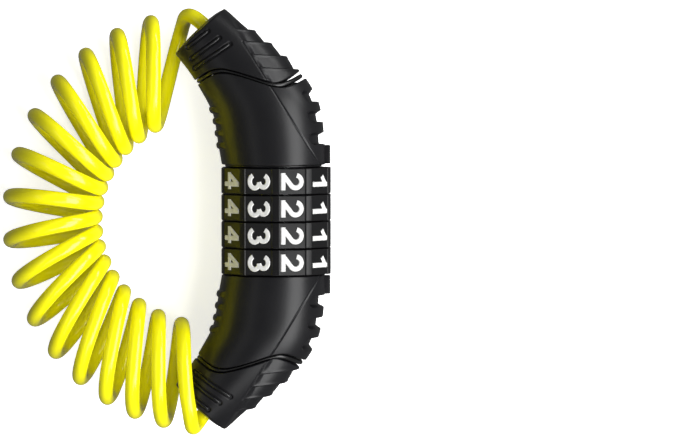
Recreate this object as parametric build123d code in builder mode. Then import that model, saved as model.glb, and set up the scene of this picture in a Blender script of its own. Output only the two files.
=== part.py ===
from build123d import *
from math import cos, pi, radians, sin, tan
import os

# Four-dial luggage lock with a coiled cable, lying flat on a table.
# +Y runs along the dial spindle towards the half that pulls out, +X points to the spine that carries
# the index bars, and +Z is up. The origin is on the table, under the middle of the lock without its
# cable. Lengths are in millimetres and headings in degrees from +X.

# Dials
dial_count = 4
digit_count = 10
dial_radius = 14.1
dial_pitch = 6.7
dial_width = 6.4
dial_chamfer = 0.35
panel_width = 7.0
panel_distance = 13.4
key_radius = 0.6

# Spindle, on the axis of the dials
spindle_x = 5.85
spindle_z = dial_radius
running_gap = 0.05
barrel_radius = 5.5
barrel_foot = -23.0
barrel_top = 15.3
pin_radius = 3.2
pin_foot = -12.6
pin_top = 23.0
tooth_width = 2.4
tooth_length = 2.6
tooth_reach = 7.6
gate_clearance = 0.3
clutch_radius = 9.0
clutch_pocket_radius = 8.1
clutch_web = 1.8
clutch_length = 6.3
spring_width = 3.0
spring_thickness = 0.35
spring_bump_radius = 0.8
spring_groove_depth = 1.0
clip_thickness = 0.9
clip_radius = 7.6
clip_groove_depth = 0.5
cross_pin_radius = 1.0
cross_pin_reach = 19.1
cross_pin_y = 20.5

# Moulded halves: middle line (x from the spindle, y), heading, half width across, half thickness
upper_face = 13.9
lower_face = -13.5
stations = [
    (-0.7, 13.9, 90, 12.9, 13.2),
    (-1.2, 19.2, 94, 13.2, 13.2),
    (-3.4, 29.3, 100, 12.8, 12.9),
    (-7.3, 35.0, 108, 11.5, 11.8),
    (-13.1, 41.7, 120, 9.75, 10.0),
    (-19.15, 47.3, 132.7, 8.3, 8.2),
]
front_wall = 10.4
wall = 2.4
spine_wall = 4.6
end_wall = 2.6
counterbore_radius = 8.2
counterbore_depth = 2.0

# Seam between housing and end cap: a wave that runs straight through in Z
seam_wave = [
    (-21.5, 33.4),
    (-19.6, 34.5),
    (-15.85, 36.9),
    (-13.4, 37.25),
    (-10.4, 36.8),
    (-5.85, 35.7),
    (-1.3, 34.4),
    (1.15, 34.15),
    (3.65, 34.9),
    (8.5, 38.0),
]
bead_width = 1.1
bead_inset = 0.35

# Grips and marks on the housings
notch_radius = 1.3
notch_half_height = 7.0
notches = [(9.6, 31.0), (11.1, 25.8), (12.0, 20.6)]
finger_rib_radius = 1.0
finger_rib_half_height = 5.5
finger_ribs = [(-13.35, 18.8), (-14.0, 21.7), (-14.7, 24.7), (-15.3, 27.6)]
index_bar_reach = 13.55
index_bar_length = 4.9
index_bar_width = 2.0

# Cable
cable_radius = 1.85
cable_offset = 1.8
bore_clearance = 0.9
coil_diameter = 28.2
coil_start = (-27.4, 36.3)
coil_heading = 190.8
coil_end_radius = 31.0
coil_end_turn = 44.2
coil_middle_radius = 42.0
ferrule_radius = 2.9
ferrule_length = 8.0
ferrule_depth = 6.5

block = 80.0
half_shift = upper_face + lower_face
os.makedirs("parts", exist_ok=True)


def across(y):
    """The plane at right angles to the spindle at y, facing +Y, with its own x along +X."""
    return Plane(origin=(spindle_x, y, spindle_z), x_dir=(1, 0, 0), z_dir=(0, 1, 0))


def heading_plane(x, y, heading, z=spindle_z):
    """A plane that faces along a heading in XY, with its own x to the right of it."""
    turn = radians(heading)
    return Plane(
        origin=(spindle_x + x, y, z),
        x_dir=(sin(turn), -cos(turn), 0),
        z_dir=(cos(turn), sin(turn), 0),
    )


def horn(sections, side_inset, depth_inset, shift=0.0):
    """The bent, tapering body through a list of stations, drawn in from its outer surface."""
    with BuildPart() as body:
        for x, y, heading, half_width, half_depth in sections:
            with BuildSketch(heading_plane(x, y, heading)):
                with Locations((shift, 0)):
                    Ellipse(half_width - side_inset, half_depth - depth_inset)
        loft()
    return body.part


def beyond_seam(offset):
    """All that lies past the seam wave, with the wave moved by an offset along Y."""
    with BuildPart() as region:
        with BuildSketch(Plane.XY.offset(-1)):
            with BuildLine():
                wave = Spline([(spindle_x + x, y + offset) for x, y in seam_wave])
                Polyline(wave @ 1, (block, block), (-block, block), wave @ 0)
            make_face()
        extrude(amount=2 * dial_radius + 2)
    return region.part


def moved_back(station, distance):
    """A station moved back along its own heading."""
    x, y, heading, half_width, half_depth = station
    turn = radians(heading)
    return (x - distance * cos(turn), y - distance * sin(turn), heading, half_width, half_depth)


def to_lower(shape):
    """The same piece of the lower half: mirrored, and brought up to the lower face."""
    return mirror(shape, about=Plane.XZ).moved(Location((0, half_shift, 0)))


def save(part, name):
    part.label = name
    export_step(part, f"parts/{name}.step")


outer = horn(stations, 0, 0)
sunk = horn(stations, bead_inset, bead_inset)
side_inset = (wall + spine_wall) / 2
cavity_start = (-2.6, upper_face + front_wall, 98, 13.1, 13.1)
cavity = horn([cavity_start, *stations[2:5]], side_inset, wall, (wall - spine_wall) / 2)
cap_cavity = horn([*stations[2:5], moved_back(stations[5], end_wall)], wall, wall)
past_housing = beyond_seam(-bead_width / 2)
past_bead = beyond_seam(bead_width / 2)

# Housing of a half: a thick-fronted moulding with spine notches, finger ribs and the index bar
with BuildPart() as housing:
    add(outer)
    add(past_housing, mode=Mode.SUBTRACT)
    add(cavity, mode=Mode.SUBTRACT)
    with Locations(*[(spindle_x + x, y, spindle_z) for x, y in notches]):
        Cylinder(notch_radius, 2 * notch_half_height, mode=Mode.SUBTRACT)
    with Locations(*[(spindle_x + x, y, spindle_z) for x, y in finger_ribs]):
        Cylinder(finger_rib_radius, 2 * finger_rib_half_height)
    with Locations((spindle_x + index_bar_reach, upper_face, spindle_z)):
        Box(
            index_bar_reach - barrel_radius,
            index_bar_length,
            index_bar_width,
            align=(Align.MAX, Align.MIN, Align.CENTER),
        )

# Upper housing: holds the locking pin, and is counterbored for the end of the barrel and its clip
with BuildPart() as upper_housing:
    add(housing.part)
    with BuildSketch(across(upper_face)):
        Circle(counterbore_radius)
    extrude(amount=counterbore_depth, mode=Mode.SUBTRACT)
    with BuildSketch(across(upper_face)):
        Circle(pin_radius + running_gap / 2)
    extrude(amount=pin_top - upper_face + running_gap, mode=Mode.SUBTRACT)
    with BuildSketch(Plane(origin=(spindle_x, cross_pin_y, 0))):
        Circle(cross_pin_radius + running_gap / 2)
    extrude(amount=cross_pin_reach + running_gap, mode=Mode.SUBTRACT)
save(upper_housing.part, "upper_housing")

# Lower housing: holds the barrel that the dials turn on
lower_pin_y = -cross_pin_y + half_shift
lower_shell = to_lower(housing.part)
with BuildPart() as lower_housing:
    add(lower_shell)
    with BuildSketch(across(barrel_foot - running_gap)):
        Circle(barrel_radius + running_gap / 2)
    extrude(amount=lower_face - barrel_foot + running_gap, mode=Mode.SUBTRACT)
    with BuildSketch(Plane(origin=(spindle_x, lower_pin_y, 0))):
        Circle(cross_pin_radius + running_gap / 2)
    extrude(amount=cross_pin_reach + running_gap, mode=Mode.SUBTRACT)
save(lower_housing.part, "lower_housing")

# Seam bead: a slightly sunk ring between each housing and its end cap
with BuildPart() as bead:
    add(sunk)
    add(past_housing, mode=Mode.INTERSECT)
    add(past_bead, mode=Mode.SUBTRACT)
    add(cap_cavity, mode=Mode.SUBTRACT)
    add(cavity, mode=Mode.SUBTRACT)
save(bead.part, "upper_seam_bead")
save(to_lower(bead.part), "lower_seam_bead")

# End cap: a hollow moulding with the cable's bore near the outer side of its end wall
exit_plane = heading_plane(*stations[5][:3])
with BuildPart() as cap:
    add(outer)
    add(past_bead, mode=Mode.INTERSECT)
    add(cap_cavity, mode=Mode.SUBTRACT)
    with BuildSketch(exit_plane.offset(-end_wall - 1)):
        with Locations((cable_offset, 0)):
            Circle(cable_radius + bore_clearance)
    extrude(amount=end_wall + 2, mode=Mode.SUBTRACT)
save(cap.part, "upper_end_cap")
save(to_lower(cap.part), "lower_end_cap")

# Ferrule: crimped on the cable's end, and held behind the cap's end wall
ferrule_front = exit_plane.offset(-end_wall - running_gap)
with BuildPart() as ferrule:
    with BuildSketch(ferrule_front):
        with Locations((cable_offset, 0)):
            Circle(ferrule_radius)
    extrude(amount=-ferrule_length)
    with BuildSketch(ferrule_front):
        with Locations((cable_offset, 0)):
            Circle(cable_radius + running_gap / 2)
    extrude(amount=-ferrule_depth, mode=Mode.SUBTRACT)
save(ferrule.part, "upper_ferrule")
save(to_lower(ferrule.part), "lower_ferrule")

# Barrel: slotted tube that the dials turn on, with a groove for the detent spring and one for the clip
groove_floor = barrel_radius - spring_groove_depth
stack_half = dial_pitch * dial_count / 2
with BuildPart() as barrel:
    with BuildSketch(across(barrel_foot)):
        Circle(barrel_radius)
    extrude(amount=barrel_top - barrel_foot)
    with BuildSketch(across(-stack_half - 1)):
        Circle(pin_radius + running_gap)
    extrude(amount=barrel_top + stack_half + 1, mode=Mode.SUBTRACT)
    with BuildSketch(across(-stack_half)):
        with Locations((-barrel_radius, 0)):
            Rectangle(2 * barrel_radius, tooth_width + gate_clearance)
    extrude(amount=barrel_top + stack_half, mode=Mode.SUBTRACT)
    with BuildSketch(across(-stack_half)):
        with Locations((groove_floor, 0)):
            Rectangle(barrel_radius, spring_width + gate_clearance, align=(Align.MIN, Align.CENTER))
    extrude(amount=2 * stack_half, mode=Mode.SUBTRACT)
    clip_foot = stack_half
    with BuildSketch(across(clip_foot)):
        Circle(barrel_radius + 1)
        Circle(barrel_radius - clip_groove_depth, mode=Mode.SUBTRACT)
    extrude(amount=clip_thickness + running_gap, mode=Mode.SUBTRACT)
    with BuildSketch(Plane(origin=(spindle_x, lower_pin_y, 0))):
        Circle(cross_pin_radius + running_gap / 2)
    extrude(amount=2 * spindle_z, mode=Mode.SUBTRACT)
save(barrel.part, "barrel")

# Clip: open spring ring that keeps the dials on the barrel, with its gap over the slot
with BuildPart() as clip:
    with BuildSketch(across(clip_foot + running_gap / 2)):
        Circle(clip_radius)
        Circle(barrel_radius - clip_groove_depth + running_gap / 2, mode=Mode.SUBTRACT)
        with Locations((-clip_radius, 0)):
            Rectangle(clip_radius, tooth_width + 4 * gate_clearance, mode=Mode.SUBTRACT)
    extrude(amount=clip_thickness)
save(clip.part, "barrel_clip")

# Detent spring: a strip in the barrel's groove with one bump under each dial
with BuildPart() as spring:
    strip_middle = groove_floor + spring_thickness / 2 + running_gap / 2
    with Locations((spindle_x + strip_middle, 0, spindle_z)):
        Box(spring_thickness, 2 * stack_half - 0.6, spring_width)
    bump_middle = barrel_radius - running_gap - spring_bump_radius
    with Locations(
        *[
            (spindle_x + bump_middle, dial_pitch * (row - (dial_count - 1) / 2) + 2.3, spindle_z)
            for row in range(dial_count)
        ]
    ):
        Cylinder(spring_bump_radius, spring_width - 0.6)
    with Locations((spindle_x + groove_floor + running_gap / 2, 0, spindle_z)):
        Box(
            barrel_radius,
            3 * stack_half,
            2 * spring_width,
            align=(Align.MIN, Align.CENTER, Align.CENTER),
            mode=Mode.INTERSECT,
        )
save(spring.part, "detent_spring")

# Cross pins: one holds the barrel in the lower housing, one the locking pin in the upper housing
for name, y in (("barrel_cross_pin", lower_pin_y), ("locking_cross_pin", cross_pin_y)):
    with BuildPart() as cross_pin:
        with BuildSketch(Plane(origin=(spindle_x, y, 2 * cross_pin_radius))):
            Circle(cross_pin_radius)
        extrude(amount=cross_pin_reach - 2 * cross_pin_radius)
    save(cross_pin.part, name)

# Locking pin: one tooth for each dial, which stands in the clutch ring's pocket
with BuildPart() as locking_pin:
    with BuildSketch(across(pin_foot)):
        Circle(pin_radius)
    extrude(amount=pin_top - pin_foot)
    chamfer(locking_pin.faces().sort_by(Axis.Y)[0].edges(), 0.6)
    for row in range(dial_count):
        tooth_middle = dial_pitch * (row - (dial_count - 1) / 2) - 0.4
        with BuildSketch(across(tooth_middle - tooth_length / 2)):
            Rectangle(tooth_reach, tooth_width, align=(Align.MAX, Align.CENTER))
        extrude(amount=tooth_length)
    with BuildSketch(Plane(origin=(spindle_x, cross_pin_y, 0))):
        Circle(cross_pin_radius + running_gap / 2)
    extrude(amount=2 * spindle_z, mode=Mode.SUBTRACT)
save(locking_pin.part, "locking_pin")

# Dials and their clutch rings, counted from the upper half down
for number in range(1, dial_count + 1):
    middle = dial_pitch * ((dial_count + 1) / 2 - number)
    with BuildPart() as dial:
        with BuildSketch(across(middle - dial_width / 2)):
            Circle(dial_radius)
        extrude(amount=dial_width)
        chamfer(dial.edges().filter_by(GeomType.CIRCLE), dial_chamfer)
        with BuildSketch(across(middle - dial_width / 2)):
            Circle(clutch_radius + running_gap)
            with PolarLocations(clutch_radius, digit_count):
                Circle(key_radius)
            with PolarLocations(panel_distance, digit_count):
                Rectangle(dial_radius, panel_width, align=(Align.MIN, Align.CENTER))
        extrude(amount=dial_width, mode=Mode.SUBTRACT)
    save(dial.part, f"dial_{number}")

    with BuildPart() as clutch_ring:
        with BuildSketch(across(middle - clutch_length / 2)):
            Circle(clutch_radius)
            with Locations((clutch_radius, 0)):
                Circle(key_radius - running_gap)
            Circle(clutch_pocket_radius, mode=Mode.SUBTRACT)
        extrude(amount=clutch_length)
        with BuildSketch(across(middle + clutch_length / 2 - clutch_web)):
            Circle(clutch_pocket_radius + 0.2)
            Circle(barrel_radius + running_gap, mode=Mode.SUBTRACT)
            with Locations((-barrel_radius, 0)):
                Rectangle(
                    2 * (tooth_reach + gate_clearance - barrel_radius),
                    tooth_width + 2 * gate_clearance,
                    mode=Mode.SUBTRACT,
                )
        extrude(amount=clutch_web)
    save(clutch_ring.part, f"clutch_ring_{number}")

# Coil: one fat tube of the coil's outer diameter, bent in three arcs round the open side
coil_z = coil_diameter / 2
start = Vector(spindle_x + coil_start[0], coil_start[1], coil_z)
turn = radians(coil_heading)
middle_turn = 2 * (270 - coil_heading - coil_end_turn)
with BuildPart() as coil:
    with BuildLine() as coil_line:
        first = JernArc(start, (cos(turn), sin(turn)), coil_end_radius, coil_end_turn)
        second = JernArc(first @ 1, first % 1, coil_middle_radius, middle_turn)
        third = JernArc(second @ 1, second % 1, coil_end_radius, coil_end_turn)
    with BuildSketch(Plane(origin=coil_line.line @ 0, z_dir=coil_line.line % 0)):
        Circle(coil_diameter / 2)
    sweep()
save(coil.part, "cable_coil")

# Leads: from each ferrule straight out of the cap, then round onto the end of the coil
exit_heading = radians(stations[5][2])
out = Vector(cos(exit_heading), sin(exit_heading), 0)
aside = Vector(sin(exit_heading), -cos(exit_heading), 0)
mouth = Vector(spindle_x + stations[5][0], stations[5][1], spindle_z) + aside * cable_offset
lead_from = mouth - out * (end_wall + running_gap + ferrule_depth)
lead_reach = coil_diameter / 2 - cable_radius - 0.3


def corner_between(point, direction, other, other_direction):
    """Where the line from a point meets the line that arrives at another point, in XY."""
    gap = other - point
    cross = direction.X * other_direction.Y - direction.Y * other_direction.X
    return point + direction * ((gap.X * other_direction.Y - gap.Y * other_direction.X) / cross)


def lead(point, direction, coil_point, coil_direction, name):
    bend = corner_between(point, direction, coil_point, coil_direction)
    half_turn = radians(direction.get_angle(coil_direction) / 2)
    shorter = min((bend - point).length, (coil_point - bend).length)
    radius = 0.45 * shorter / tan(half_turn)
    with BuildPart() as tube:
        with BuildLine() as route:
            FilletPolyline(point, bend, coil_point, radius=[radius])
        with BuildSketch(Plane(origin=point, z_dir=direction)):
            Circle(cable_radius)
        sweep()
    expected = pi * cable_radius**2 * route.wire().length
    print(name, "bend radius", round(radius, 2), "volume ratio", tube.part.volume / expected)
    save(tube.part, name)


def rim_point(point, heading):
    """A point of the coil's end face near its outer rim, at the height of the spindle."""
    rim = point + Vector(heading.Y, -heading.X, 0) * lead_reach
    return Vector(rim.X, rim.Y, spindle_z)


start_heading = coil_line.line % 0
end_heading = coil_line.line % 1
lead(lead_from, out, rim_point(start, start_heading), start_heading, "cable_lead_upper")
lower_from = Vector(lead_from.X, half_shift - lead_from.Y, spindle_z)
lower_out = Vector(out.X, -out.Y, 0)
end_point = rim_point(coil_line.line @ 1, end_heading)
lead(lower_from, lower_out, end_point, end_heading * -1, "cable_lead_lower")
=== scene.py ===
from math import cos, pi, radians, sin

import bmesh
import bpy
import numpy as np
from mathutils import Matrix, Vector
from mathutils.bvhtree import BVHTree


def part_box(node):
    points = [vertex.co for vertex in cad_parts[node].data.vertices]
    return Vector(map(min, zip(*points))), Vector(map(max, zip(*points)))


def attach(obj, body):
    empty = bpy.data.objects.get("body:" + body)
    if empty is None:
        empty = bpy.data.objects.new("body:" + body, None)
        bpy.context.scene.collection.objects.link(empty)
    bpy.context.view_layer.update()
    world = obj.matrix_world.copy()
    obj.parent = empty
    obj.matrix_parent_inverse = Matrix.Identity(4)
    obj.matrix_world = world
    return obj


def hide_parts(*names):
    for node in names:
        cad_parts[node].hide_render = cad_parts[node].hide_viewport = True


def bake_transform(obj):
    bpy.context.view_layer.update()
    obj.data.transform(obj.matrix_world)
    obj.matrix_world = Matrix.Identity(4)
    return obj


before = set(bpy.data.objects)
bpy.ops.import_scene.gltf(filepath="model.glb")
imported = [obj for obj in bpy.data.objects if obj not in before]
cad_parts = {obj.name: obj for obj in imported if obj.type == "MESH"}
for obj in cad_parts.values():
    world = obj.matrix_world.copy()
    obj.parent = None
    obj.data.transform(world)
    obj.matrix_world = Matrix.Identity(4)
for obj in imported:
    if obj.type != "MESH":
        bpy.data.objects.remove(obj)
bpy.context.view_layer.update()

# ---- Camera and light -------------------------------------------------------------------------
# The lock lies on a pale table, seen from above through a long lens that leans a little towards
# the plug end. Four soft boxes make its gleams, and diffusers and a pale room fill in the rest.
mm = 0.001
barrel_low, barrel_high = (np.array(corner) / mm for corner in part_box("barrel"))
spindle = np.array([(barrel_low[0] + barrel_high[0]) / 2, 0, (barrel_low[2] + barrel_high[2]) / 2])

camera_distance = 1.05
camera_lean = radians(2.4)
view_width = 0.16975
sensor_width = 36.0
view_middle = Vector((spindle[0] + 15.8, 0.4, spindle[2])) * mm
camera_data = bpy.data.cameras.new("camera")
camera_data.sensor_width = sensor_width
camera_data.lens = sensor_width * camera_distance / view_width
camera_data.clip_end = 10
camera = bpy.data.objects.new("camera", camera_data)
camera.location = view_middle + Vector((0, sin(camera_lean), cos(camera_lean))) * camera_distance
camera.rotation_euler = (-camera_lean, 0, 0)
bpy.context.collection.objects.link(camera)
bpy.context.scene.camera = camera


def linear(code):
    """A colour written as sRGB hex, as the linear red, green, blue and alpha that shaders take."""
    parts = [int(code[i:i + 2], 16) / 255 for i in (1, 3, 5)]
    return [p / 12.92 if p <= 0.04045 else ((p + 0.055) / 1.055) ** 2.4 for p in parts] + [1.0]


lock_middle = Vector(spindle) * mm


def soft_box(name, place, width, height, watts):
    """A white rectangular lamp at a place, turned to face the middle of the lock."""
    data = bpy.data.lights.new(name, "AREA")
    data.shape = "RECTANGLE"
    data.size, data.size_y, data.energy = width, height, watts
    lamp = bpy.data.objects.new(name, data)
    lamp.location = place
    lamp.rotation_euler = (lock_middle - Vector(place)).to_track_quat("-Z", "Y").to_euler()
    bpy.context.collection.objects.link(lamp)
    return lamp


soft_box("right_soft_box", (0.47, -0.06, 0.35), 0.9, 0.34, 4.8)
soft_box("left_soft_box", (-0.45, 0.0, 0.6), 0.8, 0.2, 0.25)
soft_box("plug_end_soft_box", (0.56, 0.52, 0.1), 0.5, 0.12, 1.3)
soft_box("dial_end_soft_box", (0.2, -0.45, 0.5), 0.4, 0.25, 0.6)
# Large diffusers, turned so that they light the cable and the numbers without a gleam of their own
for name, place, side, watts in (
    ("overhead_fill", (0.7, -0.3, 1.3), 0.6, 13),
    ("plug_end_fill", (0.1, 0.95, 0.55), 0.5, 1.6),
    ("dial_end_fill", (0.1, -0.95, 0.55), 0.5, 3),
    ("left_fill", (-0.95, 0.0, 0.55), 0.5, 0.5),
):
    fill = soft_box(name, place, side, side, watts)
    fill.visible_glossy = False

room_brightness = 0.14
world = bpy.data.worlds.new("pale_room")
bpy.context.scene.world = world
world.use_nodes = True
background = world.node_tree.nodes["Background"]
background.inputs["Color"].default_value = linear("#FFFFFF")
background.inputs["Strength"].default_value = room_brightness
bpy.context.scene.view_settings.view_transform = "Standard"


# ---- Cable ------------------------------------------------------------------------------------
# Steel rope in a glossy yellow PVC jacket, 3.7 mm thick, wound hot into a spring of sixteen turns.
# It starts in one end cap's ferrule, fans round the open side of the lock and ends in the other.
def add(tree, kind, settings=None, links=None, **attributes):
    """A shader node with its attributes, socket values and incoming links."""
    made = tree.nodes.new("ShaderNode" + kind)
    for name, value in attributes.items():
        setattr(made, name, value)
    for socket, value in (settings or {}).items():
        made.inputs[socket].default_value = value
    for socket, output in (links or {}).items():
        tree.links.new(output, made.inputs[socket])
    return made


def new_material(name):
    """An empty material and its node tree."""
    material = bpy.data.materials.new(name)
    material.use_nodes = True
    material.node_tree.nodes.clear()
    return material, material.node_tree


def new_piece(name, vertices, faces, material, smooth_angle=35):
    """A mesh piece from vertices in millimetres, with its edges sharp above an angle."""
    mesh = bpy.data.meshes.new(name)
    mesh.from_pydata((np.asarray(vertices) * mm).tolist(), [], faces)
    shape = bmesh.new()
    shape.from_mesh(mesh)
    bmesh.ops.remove_doubles(shape, verts=shape.verts, dist=1e-7)
    bmesh.ops.dissolve_degenerate(shape, edges=shape.edges, dist=1e-8)
    bmesh.ops.recalc_face_normals(shape, faces=shape.faces)
    shape.to_mesh(mesh)
    shape.free()
    mesh.shade_smooth()
    mesh.set_sharp_from_angle(angle=radians(smooth_angle))
    mesh.materials.append(material)
    piece = bpy.data.objects.new(name, mesh)
    bpy.context.collection.objects.link(piece)
    return piece


def grid_faces(rows, columns, closed_rows=False):
    """Quads over a grid whose columns close on themselves, and its rows too if asked."""
    faces = []
    for i in range(rows if closed_rows else rows - 1):
        here, there = i * columns, (i + 1) % rows * columns
        faces += [
            (here + j, here + (j + 1) % columns, there + (j + 1) % columns, there + j)
            for j in range(columns)
        ]
    return faces


cable_radius = 1.85
turns = 16
points_in_turn = 16
ring_sides = 20
coil_centre = np.array([spindle[0] - 19.1, -0.25])
turn_length = 2 * pi * 12.2

cap_heading = radians(132.7)
cap_end_middle = np.array([spindle[0] - 19.15, 47.3])
cable_offset = 1.8
cap_out = np.array([cos(cap_heading), sin(cap_heading)])
cap_aside = np.array([sin(cap_heading), -cos(cap_heading)])
upper_exit = cap_end_middle + cap_aside * cable_offset
half_shift = 0.4


def coil_point(u):
    """A point of the coil u turns along: innermost at whole numbers, outermost half-way between."""
    v = (u - (turns + 1) / 2) / (turns / 2)
    inner_turn = radians(181.5 + 64.8 * v + 7.0 * v**2 + 13.8 * v**3)
    outer_turn = radians(185.7 + 103.7 * v - 6.6 * v**2 - 28.6 * v**3 + 1.9 * v**4 + 12.5 * v**5)
    inner_reach = 24.0 + cable_radius
    outer_reach = 51.4 - 1.91 * cos(2 * (outer_turn - radians(186))) - cable_radius
    inner = coil_centre + inner_reach * np.array([cos(inner_turn), sin(inner_turn)])
    outer = coil_centre + outer_reach * np.array([cos(outer_turn), sin(outer_turn)])
    share = (1 - cos(2 * pi * u)) / 2
    across = np.linalg.norm(outer - inner) / 2
    height = turn_length / pi - across
    flat = inner * (1 - share) + outer * share
    return [*flat, height + cable_radius + height * sin(2 * pi * u)]


def in_cap(distance, lower):
    """A point on the cable's way out of a cap, some way beyond the cap's end face."""
    x, y = upper_exit + cap_out * distance
    return [x, half_shift - y if lower else y, spindle[2]]


# The half turns that join each cap to the coil: x and z from the spindle, and y. Their bending was
# evened out by relaxing the line, and five points of the lower one were then shifted.
upper_lead = [
    (-20.77, 50.98, -0.51), (-22.65, 51.11, -3.43), (-23.35, 49.38, -6.54), (-24.14, 46.88, -9.05),
    (-25.07, 43.82, -10.79), (-26.0, 40.44, -11.73), (-26.89, 36.91, -11.94), (-27.72, 33.4, -11.47),
    (-28.49, 30.06, -10.26), (-29.15, 27.11, -8.24), (-29.67, 24.86, -5.44), (-30.09, 23.58, -2.07),
    (-30.39, 23.64, 1.53),
]
lower_lead = [
    (-24.02, -26.26, -4.23), (-23.65, -26.11, -0.86), (-23.32, -27.01, 2.41), (-23.06, -28.7, 5.37),
    (-22.94, -31.08, 7.8), (-22.8, -34.03, 9.48), (-22.6, -37.33, 10.3), (-22.32, -40.73, 10.25),
    (-21.97, -44.05, 9.51), (-21.46, -47.22, 8.28), (-21.16, -50.11, 6.49), (-20.83, -51.96, 3.7),
    (-19.87, -51.05, 0.75),
]
ferrule_bottom = -9.1
route = [in_cap(d, False) for d in (ferrule_bottom, -5.0, -1.0, 0.3)]
route += [(spindle[0] + x, y, spindle[2] + z) for x, y, z in upper_lead]
first_turn, last_turn = 1.11, turns - 0.11
count = round((last_turn - first_turn) * points_in_turn)
route += [coil_point(u) for u in np.linspace(first_turn, last_turn, count)]
route += [(spindle[0] + x, y, spindle[2] + z) for x, y, z in lower_lead]
route += [in_cap(d, True) for d in (0.3, -1.0, -5.0, ferrule_bottom)]

curve = bpy.data.curves.new("cable_route", "CURVE")
curve.dimensions = "3D"
curve.resolution_u = 5
spline = curve.splines.new("NURBS")
spline.points.add(len(route) - 1)
for point, place in zip(spline.points, route):
    point.co = (*(Vector(place) * mm), 1)
spline.order_u = 3
spline.use_endpoint_u = True
route_object = bpy.data.objects.new("cable_route", curve)
sampled = bpy.data.meshes.new_from_object(route_object)
path = np.array([vertex.co for vertex in sampled.vertices])
bpy.data.meshes.remove(sampled)
bpy.data.objects.remove(route_object)
bpy.data.curves.remove(curve)


def tube(line, radius, sides):
    """Rings about a line, of one radius or one each, carried along it without twist, and their faces."""
    along = np.gradient(line, axis=0)
    along /= np.linalg.norm(along, axis=1)[:, None]
    side = np.cross(along[0], (0, 0, 1))
    rings = []
    turn = np.linspace(0, 2 * pi, sides, endpoint=False)
    for place, heading, reach in zip(line, along, np.broadcast_to(radius, len(line))):
        side = side - heading * side.dot(heading)
        side /= np.linalg.norm(side)
        up = np.cross(heading, side)
        rings.append(place + reach * (np.outer(np.cos(turn), side) + np.outer(np.sin(turn), up)))
    faces = grid_faces(len(line), sides)
    last = (len(line) - 1) * sides
    faces += [tuple(range(sides))[::-1], tuple(range(last, last + sides))]
    return np.concatenate(rings), faces


# Plasticised PVC, extruded: a deep yellow with a wet gloss, softened by a faint draw texture. That
# texture is a few hundredths of a millimetre and too fine to show, so it is drawn 1.1 mm long.
cable_pvc, tree = new_material("extruded_yellow_pvc")
place = add(tree, "TexCoord").outputs["Object"]
cloud = add(tree, "TexNoise", {"Scale": 1 / (18 * mm), "Detail": 3.0}, {"Vector": place})
colour = add(tree, "ValToRGB", links={"Fac": cloud.outputs["Fac"]})
colour.color_ramp.elements[0].position, colour.color_ramp.elements[0].color = 0.3, linear("#F0E808")
colour.color_ramp.elements[1].position, colour.color_ramp.elements[1].color = 0.7, linear("#F9F312")
fine = add(tree, "TexNoise", {"Scale": 1 / (1.1 * mm), "Detail": 2.0}, {"Vector": place})
gloss = add(tree, "MapRange", {"To Min": 0.13, "To Max": 0.2}, {"Value": fine.outputs["Fac"]})
dents = add(
    tree, "Bump", {"Strength": 0.05, "Distance": 0.2 * mm}, {"Height": fine.outputs["Fac"]}
)
shader = add(
    tree,
    "BsdfPrincipled",
    {"IOR": 1.53, "Coat Weight": 0.25, "Coat Roughness": 0.12},
    {"Base Color": colour.outputs["Color"], "Roughness": gloss.outputs["Result"],
     "Normal": dents.outputs["Normal"]},
)
add(tree, "OutputMaterial", links={"Surface": shader.outputs["BSDF"]})

vertices, faces = tube(path / mm, cable_radius, ring_sides)
cable = new_piece("cable", vertices, faces, cable_pvc)
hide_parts("cable_coil", "cable_lead_upper", "cable_lead_lower")
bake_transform(cable)


# ---- Housings ---------------------------------------------------------------------------------
# The two bent halves that a hand holds: black ABS, injection moulded with a fine spark texture.
# Each is pinned to the metal inside it; the plug half slides off, the other carries the dials.
# ABS moulded against a spark-eroded tool: near black, with a soft satin gleam that is duller where it
# is handled. The real grain is about 0.05 mm and too fine to show, so it is drawn 0.28 mm across.
black_abs, tree = new_material("spark_textured_black_abs")
place = add(tree, "TexCoord").outputs["Object"]
grain = add(tree, "TexNoise", {"Scale": 1 / (0.28 * mm), "Detail": 2.0}, {"Vector": place})
cloud = add(tree, "TexNoise", {"Scale": 1 / (14 * mm), "Detail": 4.0}, {"Vector": place})
colour = add(tree, "ValToRGB", links={"Fac": cloud.outputs["Fac"]})
colour.color_ramp.elements[0].position, colour.color_ramp.elements[0].color = 0.3, linear("#0F0F11")
colour.color_ramp.elements[1].position, colour.color_ramp.elements[1].color = 0.7, linear("#151517")
handling = add(tree, "MapRange", {"To Min": 0.3, "To Max": 0.4}, {"Value": cloud.outputs["Fac"]})
texture = add(
    tree, "Bump", {"Strength": 0.1, "Distance": 0.04 * mm}, {"Height": grain.outputs["Fac"]}
)
shader = add(
    tree,
    "BsdfPrincipled",
    {"IOR": 1.54, "Specular IOR Level": 0.34},
    {"Base Color": colour.outputs["Color"], "Roughness": handling.outputs["Result"],
     "Normal": texture.outputs["Normal"]},
)
add(tree, "OutputMaterial", links={"Surface": shader.outputs["BSDF"]})

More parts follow.
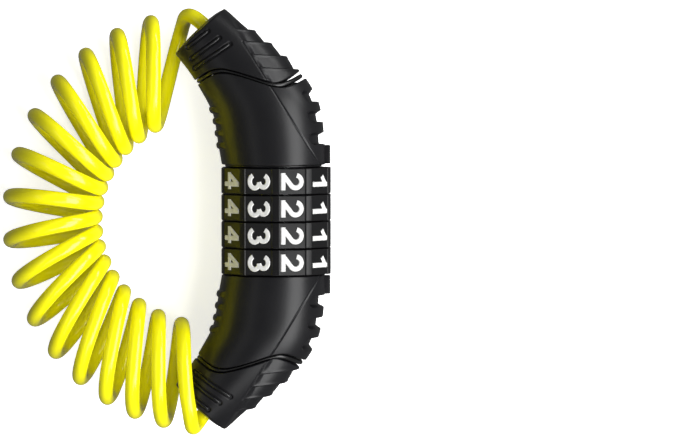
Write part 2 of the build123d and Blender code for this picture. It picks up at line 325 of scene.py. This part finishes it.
# Middle line of a half (x from the spindle, y), heading, half width across, half thickness, and how
# far the spine side swells beyond that
stations = np.array([
    (-0.7, 13.9, 90, 12.9, 13.2, 0.0),
    (-1.2, 19.2, 94, 13.2, 13.2, 0.1),
    (-3.4, 29.3, 100, 12.8, 12.9, 0.55),
    (-7.3, 35.0, 108, 11.5, 11.8, 1.05),
    (-13.1, 41.7, 120, 9.75, 10.0, 0.3),
    (-19.15, 47.3, 132.7, 8.3, 8.2, 0.0),
])
station_at = np.concatenate([[0], np.cumsum(np.linalg.norm(np.diff(stations[:, :2], axis=0), axis=1))])
horn_length = station_at[-1]
columns = 600
around = np.linspace(0, 2 * pi, columns, endpoint=False)
seam_wave = np.array([
    (-23.0, 32.2), (-21.5, 33.3), (-19.6, 34.6), (-15.85, 36.9), (-13.4, 37.35), (-10.4, 36.9),
    (-5.85, 35.6), (-1.3, 34.3), (1.15, 34.1), (3.65, 34.8), (6.3, 36.2), (9.5, 38.4),
])
crease_from, crease_to = np.array((-8.2, 44.6)), np.array((11.2, 13.8))
crease_depth, crease_half = 0.16, 0.17


def through(at, knots, values):
    """Values at places between knots, on a curve through all of them with no kink."""
    slopes = np.gradient(values, knots)
    i = np.clip(np.searchsorted(knots, at) - 1, 0, len(knots) - 2)
    wide = knots[i + 1] - knots[i]
    t = (at - knots[i]) / wide
    return (
        (1 + 2 * t) * (1 - t) ** 2 * values[i]
        + t * (1 - t) ** 2 * wide * slopes[i]
        + t**2 * (3 - 2 * t) * values[i + 1]
        + t**2 * (t - 1) * wide * slopes[i + 1]
    )


def horn(along, angle):
    """Points of the bent body's smooth surface, a distance along it and an angle round it."""
    x, y, heading, across, thick, swell = (
        through(along, station_at, stations[:, k]) for k in range(6)
    )
    turn = np.radians(heading)
    out = across * np.cos(angle) + swell * np.clip(np.cos(angle), 0, None) ** 2
    return np.stack(
        [
            spindle[0] + x + np.sin(turn) * out,
            y - np.cos(turn) * out,
            spindle[2] + thick * np.sin(angle),
        ],
        axis=-1,
    )


def wave_height(x):
    """The seam's height along Y at an x from the spindle."""
    return through(np.clip(x, seam_wave[0, 0], seam_wave[-1, 0]), seam_wave[:, 0], seam_wave[:, 1])


def seam_along():
    """How far along the body each column of the surface meets the seam."""
    steps = np.linspace(12, 36, 700)
    points = horn(steps[:, None], around[None, :])
    over = points[..., 1] - wave_height(points[..., 0] - spindle[0])
    first = np.argmax(over > 0, axis=0)
    before, after = over[first - 1, range(columns)], over[first, range(columns)]
    return steps[first - 1] + (steps[1] - steps[0]) * before / (before - after)


seam = seam_along()
seam_gap = 0.85


def skin(low, high, count, edge):
    """A patch of the body between two places along each column, with close rows at both ends.
    Returns its points, outward normals, and each point's distance from both ends."""
    near = np.array([0, 0.08, 0.2, 0.4, 0.7]) * edge / (high - low).mean()
    share = np.concatenate([near, np.linspace(1.1 * edge / (high - low).mean(), 1, count)])
    share = np.unique(np.concatenate([share[share < 0.5], 1 - share[share < 0.5]]))
    inside = np.linspace(share[len(share) // 2 - 1], share[len(share) // 2], 3)[1:-1]
    share = np.unique(np.concatenate([share, inside]))
    place = low + (high - low) * share[:, None]
    points = horn(place, np.broadcast_to(around, place.shape))
    down = np.gradient(points, axis=0)
    wrapped = np.concatenate([points[:, -1:], points, points[:, :1]], axis=1)
    round_it = (wrapped[:, 2:] - wrapped[:, :-2]) / 2
    normal = np.cross(down, round_it)
    normal /= np.linalg.norm(normal, axis=2)[..., None]
    steps = np.linalg.norm(np.diff(points, axis=0), axis=2)
    from_low = np.concatenate([np.zeros((1, columns)), np.cumsum(steps, axis=0)])
    return points, normal, from_low, from_low[-1] - from_low


def rounded(distance, radius):
    """How deep a rounded edge lies at a distance from it."""
    inside = np.clip(radius - distance, 0, radius)
    return radius - np.sqrt(radius**2 - inside**2)


def ramp(value, low, high):
    """0 below low, 1 above high, and a smooth rise between."""
    t = np.clip((value - low) / (high - low), 0, 1)
    return t * t * (3 - 2 * t)


def from_line(points, start, end):
    """Distance in plan from a line between two places."""
    flat = points[..., :2] - [spindle[0], 0] - start
    way = end - start
    share = np.clip((flat * way).sum(-1) / (way @ way), 0, 1)
    return np.linalg.norm(flat - share[..., None] * way, axis=-1)


def beside_crease(points):
    """Distance in plan to the spine side of the crease, negative on the other side."""
    flat = points[..., :2] - [spindle[0], 0] - crease_from
    way = (crease_to - crease_from) / np.linalg.norm(crease_to - crease_from)
    return flat[..., 1] * way[0] - flat[..., 0] * way[1]


def crease(points):
    """The fine groove where the spine panel begins, on the face and on the back."""
    return crease_depth * np.exp(-((from_line(points, crease_from, crease_to) / crease_half) ** 2))


def ring(radius, y):
    """A circle of one point per column about the spindle, at a height along it."""
    return np.stack(
        [
            spindle[0] + radius * np.cos(around),
            np.full(columns, float(y)),
            spindle[2] + radius * np.sin(around),
        ],
        axis=-1,
    )


def closed(rows):
    """Vertices and faces of rows of points, with the first and last row closed."""
    faces = grid_faces(len(rows), columns)
    last = (len(rows) - 1) * columns
    faces += [tuple(range(columns))[::-1], tuple(range(last, last + columns))]
    return np.concatenate(rows), faces


def lower_of(vertices):
    """The same points on the lower half."""
    turned = np.array(vertices)
    turned[:, 1] = half_shift - turned[:, 1]
    return turned


upper_face = 13.9
edge_radius = 0.35
# Notches across the spine: y of the middle, half width, and how many degrees round the body they end.
# Their sides towards the cap slope more than the others.
notches = [(31.2, 1.5, 29), (26.0, 1.4, 32), (20.5, 1.45, 34)]
notch_depth = 1.5
notch_end_round = radians(9)
cap_side_slope, dial_side_slope = 0.45, 0.15
finger_ribs = [27.5, 24.7, 21.7, 18.7]
rib_height, rib_half = 0.55, 0.85
ribs_start, ribs_full = radians(148), radians(160)
wall = 1.6
counterbore_radius, counterbore_depth = 8.2, 2.0


def housing_rows(bore_rows):
    """The housing's surface from its bore over the outside to the seam."""
    points, normal, from_face, from_seam = skin(
        np.zeros(columns), seam - seam_gap, 190, edge_radius
    )
    x, y = points[..., 0] - spindle[0], points[..., 1]
    turn = np.abs((around + pi) % (2 * pi) - pi)
    dip = rounded(from_face, edge_radius) + rounded(from_seam, edge_radius) + crease(points)
    for middle_y, half, end in notches:
        past = np.clip(turn - radians(end), 0, None) / notch_end_round
        off = np.hypot((y - middle_y) / half, past)
        soft = np.where(y > middle_y, cap_side_slope, dial_side_slope)
        dip += notch_depth * (1 - ramp(off, 1 - soft, 1 + soft / 3))
    on_inside = ramp(turn, ribs_start, ribs_full)
    for middle_y in finger_ribs:
        off = np.clip((y - middle_y) / rib_half, -1, 1)
        dip -= rib_height * on_inside * np.sqrt(1 - off**2)
    surface = points - normal * dip[..., None]
    inner = surface[-1] - normal[-1] * wall
    return [*bore_rows, *surface, inner]


def collar(inset, rise):
    """The housing's outline at the dials, drawn in, a little above its face."""
    points = horn(np.zeros(columns), around)
    centre = points.mean(axis=0)
    across = points[:, :1].max() - centre[0]
    shrunk = centre + (points - centre) * (1 - inset / across)
    shrunk[:, 1] = upper_face - rise
    return shrunk


pin_bore_radius, pin_bore_bottom = 3.3, 18.0
collar_height, collar_inset, collar_edge = 0.45, 0.8, 0.15
upper_bore = [
    ring(pin_bore_radius, pin_bore_bottom),
    ring(pin_bore_radius, upper_face + counterbore_depth),
    ring(counterbore_radius, upper_face + counterbore_depth),
    ring(counterbore_radius, upper_face - 0.2),
    ring(counterbore_radius + 0.25, upper_face - collar_height),
    collar(collar_inset + collar_edge, collar_height),
    collar(collar_inset, collar_height - collar_edge),
    collar(collar_inset, 0),
]
vertices, faces = closed(housing_rows(upper_bore))
upper_housing = new_piece("upper_housing_shell", vertices, faces, black_abs)
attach(upper_housing, "plug_half")
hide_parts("upper_housing")

lower_bore = [ring(5.55, upper_face + 4), ring(5.55, upper_face + 0.2), ring(5.75, upper_face)]
vertices, faces = closed(housing_rows(lower_bore))
lower_housing = new_piece("lower_housing_shell", lower_of(vertices), faces, black_abs)
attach(lower_housing, "dial_half")
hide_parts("lower_housing")


# ---- Seam beads -------------------------------------------------------------------------------
# A polished ABS ring between each housing and its cap, sunk between two dark gaps. It follows the
# same wave as the seam, and is welded on before the cap.
# The same ABS against a polished tool: a sharper, darker gleam than its neighbours, slightly hazed
gloss_abs, tree = new_material("polished_black_abs")
place = add(tree, "TexCoord").outputs["Object"]
haze = add(tree, "TexNoise", {"Scale": 1 / (4 * mm), "Detail": 3.0}, {"Vector": place})
gloss = add(tree, "MapRange", {"To Min": 0.2, "To Max": 0.3}, {"Value": haze.outputs["Fac"]})
shader = add(
    tree,
    "BsdfPrincipled",
    {"Base Color": linear("#0F0F10"), "IOR": 1.54},
    {"Roughness": gloss.outputs["Result"]},
)
add(tree, "OutputMaterial", links={"Surface": shader.outputs["BSDF"]})

bead_half, bead_sunk, bead_sides = 0.56, 0.22, 20


def bead_rows():
    """Rings of the bead's rounded section, one point per column in each."""
    points, normal, _, _ = skin(seam - 1, seam + 1, 6, 0.3)
    middle_row = len(points) // 2
    base, up = horn(seam, around), normal[middle_row]
    way = points[middle_row + 1] - points[middle_row - 1]
    way /= np.linalg.norm(way, axis=1)[:, None]
    rows = []
    for turn in np.linspace(0, 2 * pi, bead_sides, endpoint=False):
        depth = bead_sunk + bead_half - bead_half * sin(turn) * (1 if sin(turn) > 0 else 3)
        rows.append(base + way * bead_half * cos(turn) - up * depth)
    return rows


rows = bead_rows()
bead_faces = grid_faces(len(rows), columns, closed_rows=True)
for name, body, turned in (("upper", "plug_half", False), ("lower", "dial_half", True)):
    vertices = np.concatenate(rows)
    bead = new_piece(
        f"{name}_bead", lower_of(vertices) if turned else vertices, bead_faces, gloss_abs
    )
    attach(bead, body)
    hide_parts(f"{name}_seam_bead")


# ---- End caps ---------------------------------------------------------------------------------
# Hollow ABS mouldings welded over the cable's ferrules. Scales step down the spine side, and three
# bars in stadium-shaped grooves lie across each face beside the cable's exit.
scale_lines = [47.6, 44.65, 41.55, 38.4, 35.0]
scale_depth, scale_lip = 1.1, 0.28
scale_tilt, scale_tilt_from = 0.06, -4
spine_start, spine_full = -0.1, 1.8
# The fine groove above each scale's lip and the ridge below it: depth, distance from the lip, width
lip_groove = (0.3, 0.16, 0.14)
lip_ridge = (0.13, 0.36, 0.2)
crown_depth, crown_length = 0.85, 5.5
cap_bars = [
    ((-21.75, 43.2), (-16.85, 47.2)),
    ((-20.85, 40.3), (-14.0, 45.5)),
    ((-20.1, 38.0), (-11.35, 44.0)),
]
bar_half, bar_lift, bar_steps, bar_sides = 0.36, 0.12, 41, 16
groove_half, groove_depth = 0.72, 0.4
end_bulge = 0.55
hole_radius, hole_depth, hole_edge = 2.1, 2.4, 0.25


def cap_rows():
    """The cap's surface from the seam over the outside to the middle of its end face."""
    points, normal, from_seam, from_end = skin(
        seam + seam_gap, np.full(columns, horn_length), 190, edge_radius
    )
    x, y = points[..., 0] - spindle[0], points[..., 1]
    dip = rounded(from_seam, edge_radius) + rounded(from_end, 0.5) + crease(points)
    on_spine = ramp(beside_crease(points), spine_start, spine_full)
    level = y + scale_tilt * (x - scale_tilt_from)
    fall = np.zeros_like(dip)
    for top, bottom in zip(scale_lines[:-1], scale_lines[1:]):
        share = np.clip((top - level) / (top - bottom), 0, 1)
        inside = ramp(level, bottom - 0.01, bottom + 0.08) * (1 - ramp(level, top - 0.08, top + 0.01))
        lip = rounded(np.clip(top - level, 0, None), scale_lip)
        fall = np.maximum(fall, (scale_depth * share + lip) * inside)
        depth, away, width = lip_groove
        fall = fall + depth * np.exp(-(((level - top - away) / width) ** 2))
        depth, away, width = lip_ridge
        fall = fall - depth * np.exp(-(((level - top + away) / width) ** 2))
    first = scale_lines[0]
    crown = ramp(level, first - 0.05, first + 0.05) * (1 - ramp(level, first, first + crown_length))
    fall = np.maximum(fall, crown_depth * crown)
    dip += on_spine * fall
    on_face = np.abs(np.sin(around)) > 0.15
    for start, end in cap_bars:
        away = from_line(points, np.array(start), np.array(end))
        groove = 1 - ramp(away, groove_half - 0.2, groove_half + 0.04)
        dip += on_face * groove_depth * groove
    surface = points - normal * dip[..., None]
    rows = [surface[0] - normal[0] * wall, *surface]
    rim = surface[-1]
    middle_point = np.array([*upper_exit, spindle[2]])
    out = np.array([*cap_out, 0])
    bore = middle_point + hole_radius * (
        np.outer(np.cos(around), [*cap_aside, 0]) + np.outer(np.sin(around), (0, 0, 1))
    )
    for share in np.linspace(0.1, 1, 12):
        bulge = end_bulge * (1 - (1 - share) ** 2.2)
        rows.append(rim * (1 - share) + bore * share + out * bulge)
    narrowed = bore - 0.12 * (bore - middle_point)
    rows.append(narrowed + out * (end_bulge - hole_edge))
    rows.append(narrowed - out * hole_depth)
    return rows


vertices, faces = closed(cap_rows())
for name, body, turned in (("lower", "dial_half", True), ("upper", "plug_half", False)):
    cap = new_piece(
        f"{name}_cap_shell", lower_of(vertices) if turned else vertices, faces, black_abs
    )
    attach(cap, body)
    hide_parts(f"{name}_end_cap")


# The bars themselves: round-ended rods of polished ABS that follow the floor of their grooves
grooved = BVHTree.FromPolygons((vertices * mm).tolist(), faces)


def bar_line(start, end):
    """The middle line of one bar on the front face, and its radius along it."""
    line = []
    for turn in np.linspace(0, pi, bar_steps):
        x, y = np.array(start) + (np.array(end) - start) * (1 - cos(turn)) / 2
        above = Vector((spindle[0] + x, y, 2 * spindle[2])) * mm
        floor = grooved.ray_cast(above, Vector((0, 0, -1)))[0] / mm
        line.append((spindle[0] + x, y, floor.z + bar_lift))
    line = np.array(line)
    from_start = np.linalg.norm(line - line[0], axis=1)
    from_end = np.minimum(from_start, from_start[-1] - from_start)
    inside = np.clip(1 - from_end / bar_half, 0, 0.97)
    return line, bar_half * np.sqrt(1 - inside**2)


bar_points, bar_faces = [], []
for start, end in cap_bars:
    line, radius = bar_line(start, end)
    for back in (False, True):
        placed = line * [1, 1, -1] + [0, 0, 2 * spindle[2]] if back else line
        rod, rod_faces = tube(placed, radius, bar_sides)
        used = sum(map(len, bar_points))
        bar_faces += [tuple(i + used for i in face) for face in rod_faces]
        bar_points.append(rod)
for name, body, turned in (("lower", "dial_half", True), ("upper", "plug_half", False)):
    vertices = np.concatenate(bar_points)
    bars = new_piece(
        f"{name}_cap_bars", lower_of(vertices) if turned else vertices, bar_faces, gloss_abs
    )
    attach(bars, body)


# ---- Index bars -------------------------------------------------------------------------------
# A small upright bar on each housing's spine, flush with the dials, that marks where the code is read.
bar_low, bar_high = (10.5, upper_face + 0.25, -1.1), (13.55, upper_face + 4.9, 1.1)
bar_edge = 0.4
for name, body, turned in (("upper", "plug_half", False), ("lower", "dial_half", True)):
    shape = bmesh.new()
    bmesh.ops.create_cube(shape, size=1)
    for vertex in shape.verts:
        for k in range(3):
            vertex.co[k] = bar_high[k] if vertex.co[k] > 0 else bar_low[k]
        vertex.co += Vector(spindle)
    bmesh.ops.bevel(
        shape, geom=shape.edges, offset=bar_edge, segments=4, profile=0.5, affect="EDGES"
    )
    shape.verts.index_update()
    vertices = np.array([vertex.co for vertex in shape.verts])
    faces = [tuple(v.index for v in face.verts) for face in shape.faces]
    shape.free()
    index_bar = new_piece(
        f"{name}_index_bar", lower_of(vertices) if turned else vertices, faces, black_abs
    )
    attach(index_bar, body)


# ---- Dials ------------------------------------------------------------------------------------
# Four number wheels of black ABS. Ten flat panels carry the digits, with narrow raised ribs between
# them for the thumb, and each wheel is keyed over its clutch ring.
# ABS from a smooth tool: black panels with an even, low gleam that the white numbers stand out from
dial_abs, tree = new_material("moulded_dial_abs")
place = add(tree, "TexCoord").outputs["Object"]
haze = add(tree, "TexNoise", {"Scale": 1 / (3 * mm), "Detail": 3.0}, {"Vector": place})
gloss = add(tree, "MapRange", {"To Min": 0.26, "To Max": 0.38}, {"Value": haze.outputs["Fac"]})
shader = add(
    tree,
    "BsdfPrincipled",
    {"Base Color": linear("#0F0F10"), "IOR": 1.54, "Specular IOR Level": 0.32},
    {"Roughness": gloss.outputs["Result"]},
)
add(tree, "OutputMaterial", links={"Surface": shader.outputs["BSDF"]})

digit_count = 10
dial_radius = 14.1
panel_distance = 13.4
panel_half = 3.5
dial_half_width = 3.2
dial_bore = 9.05
dial_columns = 800
dial_around = np.linspace(0, 2 * pi, dial_columns, endpoint=False)


def dial_outline(sunk):
    """The dial's outline, drawn in by a distance: flat panels with round ribs between them."""
    step = 2 * pi / digit_count
    off = (dial_around + step / 2) % step - step / 2
    panel = panel_distance / np.cos(off)
    on_panel = 1 - ramp(np.abs(panel_distance * np.tan(off)), panel_half - 0.12, panel_half + 0.06)
    return dial_radius * (1 - on_panel) + panel * on_panel - sunk


def dial_ring(reach, y):
    """A ring about the spindle at a height along it, of one radius or one each round it."""
    reach = np.broadcast_to(reach, dial_columns)
    return np.stack(
        [
            spindle[0] + reach * np.cos(dial_around),
            np.full(dial_columns, float(y)),
            spindle[2] + reach * np.sin(dial_around),
        ],
        axis=-1,
    )


dial_edge = 0.3
# From one face of the dial to the other: how far the outline is drawn in, and y from its middle
edge_turns = np.linspace(0, pi / 2, 6)
dial_profile = [
    (dial_edge * (1 - sin(turn)), -dial_half_width + dial_edge * (1 - cos(turn)))
    for turn in edge_turns
]
dial_profile += [(sunk, -y) for sunk, y in dial_profile[::-1]]
for number in range(1, 5):
    low, high = (np.array(corner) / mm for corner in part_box(f"dial_{number}"))
    middle_y = (low[1] + high[1]) / 2
    rows = [dial_ring(dial_bore, middle_y - dial_half_width)]
    rows += [dial_ring(dial_outline(sunk), middle_y + y) for sunk, y in dial_profile]
    rows.append(dial_ring(dial_bore, middle_y + dial_half_width))
    faces = grid_faces(len(rows), dial_columns, closed_rows=True)
    dial = new_piece(f"dial_{number}_wheel", np.concatenate(rows), faces, dial_abs, 28)
    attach(dial, f"dial_{number}_body")
    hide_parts(f"dial_{number}")


# ---- Numbers ----------------------------------------------------------------------------------
# Plain digits, filled with white paint and standing a hair proud of the panels. They lie on their
# sides, with their tops towards the panel of the lower number, and 0 is at the index bars.
# Matt enamel wiped into the digits: an off-white, faintly mottled, with no gleam to hide its edges
white_paint, tree = new_material("white_filling_paint")
place = add(tree, "TexCoord").outputs["Object"]
mottle = add(tree, "TexNoise", {"Scale": 1 / (0.9 * mm), "Detail": 2.0}, {"Vector": place})
colour = add(tree, "ValToRGB", links={"Fac": mottle.outputs["Fac"]})
colour.color_ramp.elements[0].position, colour.color_ramp.elements[0].color = 0.2, linear("#C4C4C2")
colour.color_ramp.elements[1].position, colour.color_ramp.elements[1].color = 0.8, linear("#DCDCDA")
shader = add(
    tree,
    "BsdfPrincipled",
    {"Roughness": 0.5, "IOR": 1.5},
    {"Base Color": colour.outputs["Color"]},
)
add(tree, "OutputMaterial", links={"Surface": shader.outputs["BSDF"]})

# Half widths of a stroke at the panel and at its top, its height, and how much higher each next
# stroke of a digit is, so that two that cross never share a face
digit_foot, digit_face, digit_proud, digit_step = 0.6, 0.42, 0.18, 0.012


def bow(x, y, across, tall, start, end, steps=22):
    """Points on an ellipse from one angle to another, in degrees."""
    turn = np.radians(np.linspace(start, end, steps))
    return [*zip(x + across * np.cos(turn), y + tall * np.sin(turn))]


# Middle lines of the strokes of each digit, with x to its right and y to its top
digit_strokes = [
    [bow(0, 0, 1.6, 2.36, 90, 450, 40)],
    [[(0.8, -2.92), (0.8, 2.92)], [(0.75, 2.35), (-1.25, 0.95)]],
    [[*bow(0, 0.84, 1.55, 1.52, 168, -38), (-1.35, -2.1)], [(-2.1, -2.36), (2.12, -2.36)]],
    [bow(-0.05, 1.18, 1.42, 1.18, 160, -82), bow(0, -1.1, 1.6, 1.26, 82, -160)],
    [[(0.75, -2.92), (0.75, 2.92)], [(0.62, 2.4), (-1.6, -1.0)], [(-2.15, -1.12), (2.05, -1.12)]],
    [[(1.8, 2.36), (-1.15, 2.36), (-1.45, 0.05)], bow(0, -0.78, 1.6, 1.58, 142, -160)],
    [bow(0, -0.84, 1.6, 1.52, 90, 450, 40), bow(0.15, -0.3, 1.75, 2.66, 185, 48)],
    [[(-2.1, 2.36), (2.1, 2.36)], [(1.6, 2.2), (-0.6, -2.92)]],
    [bow(0, 1.22, 1.3, 1.14, 90, 450, 36), bow(0, -1.14, 1.6, 1.22, 90, 450, 40)],
    [bow(0, 0.84, 1.6, 1.52, 90, 450, 40), bow(-0.15, 0.3, 1.75, 2.66, 5, -132)],
]


def digit_shape(strokes):
    """Points (right, up, out) and faces of one digit: low ridges with sloping sides."""
    points, faces = [], []
    for order, stroke in enumerate(strokes):
        line = np.array(stroke)
        way = np.gradient(line, axis=0)
        way /= np.linalg.norm(way, axis=1)[:, None]
        closed_loop = np.allclose(line[0], line[-1])
        if closed_loop:
            way[0] = way[-1] = (way[0] + way[-1]) / 2
        side = np.stack([-way[:, 1], way[:, 0]], axis=1)
        first = len(points)
        height = digit_proud + digit_step * order
        for middle_of, across_it in zip(line, side):
            for reach, rise in (
                (-digit_foot, 0), (-digit_face, height), (digit_face, height), (digit_foot, 0)
            ):
                points.append((*(middle_of + across_it * reach), rise))
        for i in range(len(line) - 1):
            a = first + 4 * i
            faces += [(a + k, a + k + 4, a + k + 5, a + k + 1) for k in range(3)]
        if not closed_loop:
            last = first + 4 * (len(line) - 1)
            faces += [(first, first + 1, first + 2, first + 3), (last + 3, last + 2, last + 1, last)]
    return np.array(points), faces


digit_shapes = [digit_shape(strokes) for strokes in digit_strokes]
for number in range(1, 5):
    low, high = (np.array(corner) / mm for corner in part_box(f"dial_{number}"))
    all_points, all_faces, used = [], [], 0
    for digit, (points, faces) in enumerate(digit_shapes):
        turn = digit * 2 * pi / digit_count
        out = np.array((cos(turn), 0, sin(turn)))
        up = np.array((sin(turn), 0, -cos(turn)))
        right = np.array((0, -1, 0))
        foot = np.array((spindle[0], (low[1] + high[1]) / 2, spindle[2])) + out * panel_distance
        all_points.append(
            foot + points[:, :1] * right + points[:, 1:2] * up + points[:, 2:] * out
        )
        all_faces += [tuple(i + used for i in face) for face in faces]
        used += len(points)
    numbers = new_piece(
        f"dial_{number}_numbers", np.concatenate(all_points), all_faces, white_paint, 30
    )
    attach(numbers, f"dial_{number}_body")


# ---- Metal inside -----------------------------------------------------------------------------
# Zinc-plated barrel and locking pin, die-cast clutch rings, spring-steel clip, detent and cross pins,
# and the aluminium ferrules crimped on the cable. They show when the plug half is pulled out.
def metal(name, colour, roughness, streak, mark_size):
    """A bare metal whose gloss varies along its tool marks or casting skin, stretched by streak."""
    material, tree = new_material(name)
    place = add(tree, "TexCoord").outputs["Object"]
    stretched = add(tree, "Mapping", {"Scale": streak}, {"Vector": place})
    marks = add(
        tree, "TexNoise", {"Scale": 1 / (mark_size * mm), "Detail": 3.0},
        {"Vector": stretched.outputs["Vector"]},
    )
    gloss = add(
        tree, "MapRange", {"To Min": roughness - 0.05, "To Max": roughness + 0.05},
        {"Value": marks.outputs["Fac"]},
    )
    dents = add(
        tree, "Bump", {"Strength": 0.08, "Distance": 0.01 * mm}, {"Height": marks.outputs["Fac"]}
    )
    shader = add(
        tree,
        "BsdfPrincipled",
        {"Base Color": linear(colour), "Metallic": 1.0},
        {"Roughness": gloss.outputs["Result"], "Normal": dents.outputs["Normal"]},
    )
    add(tree, "OutputMaterial", links={"Surface": shader.outputs["BSDF"]})
    return material


# Real tool marks and casting grain are under 0.1 mm and too fine to show, so all are drawn coarser.
# Zinc plate is pale with a turned sheen, die-cast zinc grey and dull, spring steel darker and sharper,
# and crimped aluminium pale and soft.
plated = metal("turned_zinc_plate", "#D6D8D8", 0.34, (0.15, 1.0, 0.15), 0.3)
cast = metal("die_cast_zinc", "#B4B7BB", 0.5, (1.0, 1.0, 1.0), 0.6)
spring_steel = metal("hardened_spring_steel", "#8F9093", 0.3, (1.0, 0.2, 1.0), 0.4)
crimped = metal("crimped_aluminium", "#D3D5D8", 0.35, (1.0, 1.0, 1.0), 0.8)
finishes = {
    plated: ["barrel", "locking_pin"],
    cast: [f"clutch_ring_{number}" for number in range(1, 5)],
    spring_steel: ["barrel_clip", "detent_spring", "barrel_cross_pin", "locking_cross_pin"],
    crimped: ["upper_ferrule", "lower_ferrule"],
}
for material, names in finishes.items():
    for name in names:
        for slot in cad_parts[name].material_slots:
            slot.material = material


# ---- Table ------------------------------------------------------------------------------------
# A plain white acrylic table, matt and lit from beneath: an even white with hardly any shadow. Its
# faint cloudiness is drawn a third of a metre across.
table_top, tree = new_material("frosted_white_acrylic")
place = add(tree, "TexCoord").outputs["Object"]
cloud = add(tree, "TexNoise", {"Scale": 1 / (333 * mm), "Detail": 2.0}, {"Vector": place})
colour = add(tree, "ValToRGB", links={"Fac": cloud.outputs["Fac"]})
colour.color_ramp.elements[0].color = linear("#F6F6F6")
colour.color_ramp.elements[1].color = linear("#FCFCFC")
shader = add(
    tree,
    "BsdfPrincipled",
    {"Roughness": 0.8, "Emission Color": linear("#FFFFFF"), "Emission Strength": 0.65},
    {"Base Color": colour.outputs["Color"]},
)
add(tree, "OutputMaterial", links={"Surface": shader.outputs["BSDF"]})
table_half = 3000
table = new_piece(
    "table",
    [(x * table_half, y * table_half, 0) for x, y in ((-1, -1), (1, -1), (1, 1), (-1, 1))],
    [(0, 1, 2, 3)],
    table_top,
)
table.visible_diffuse = False
table.visible_glossy = False
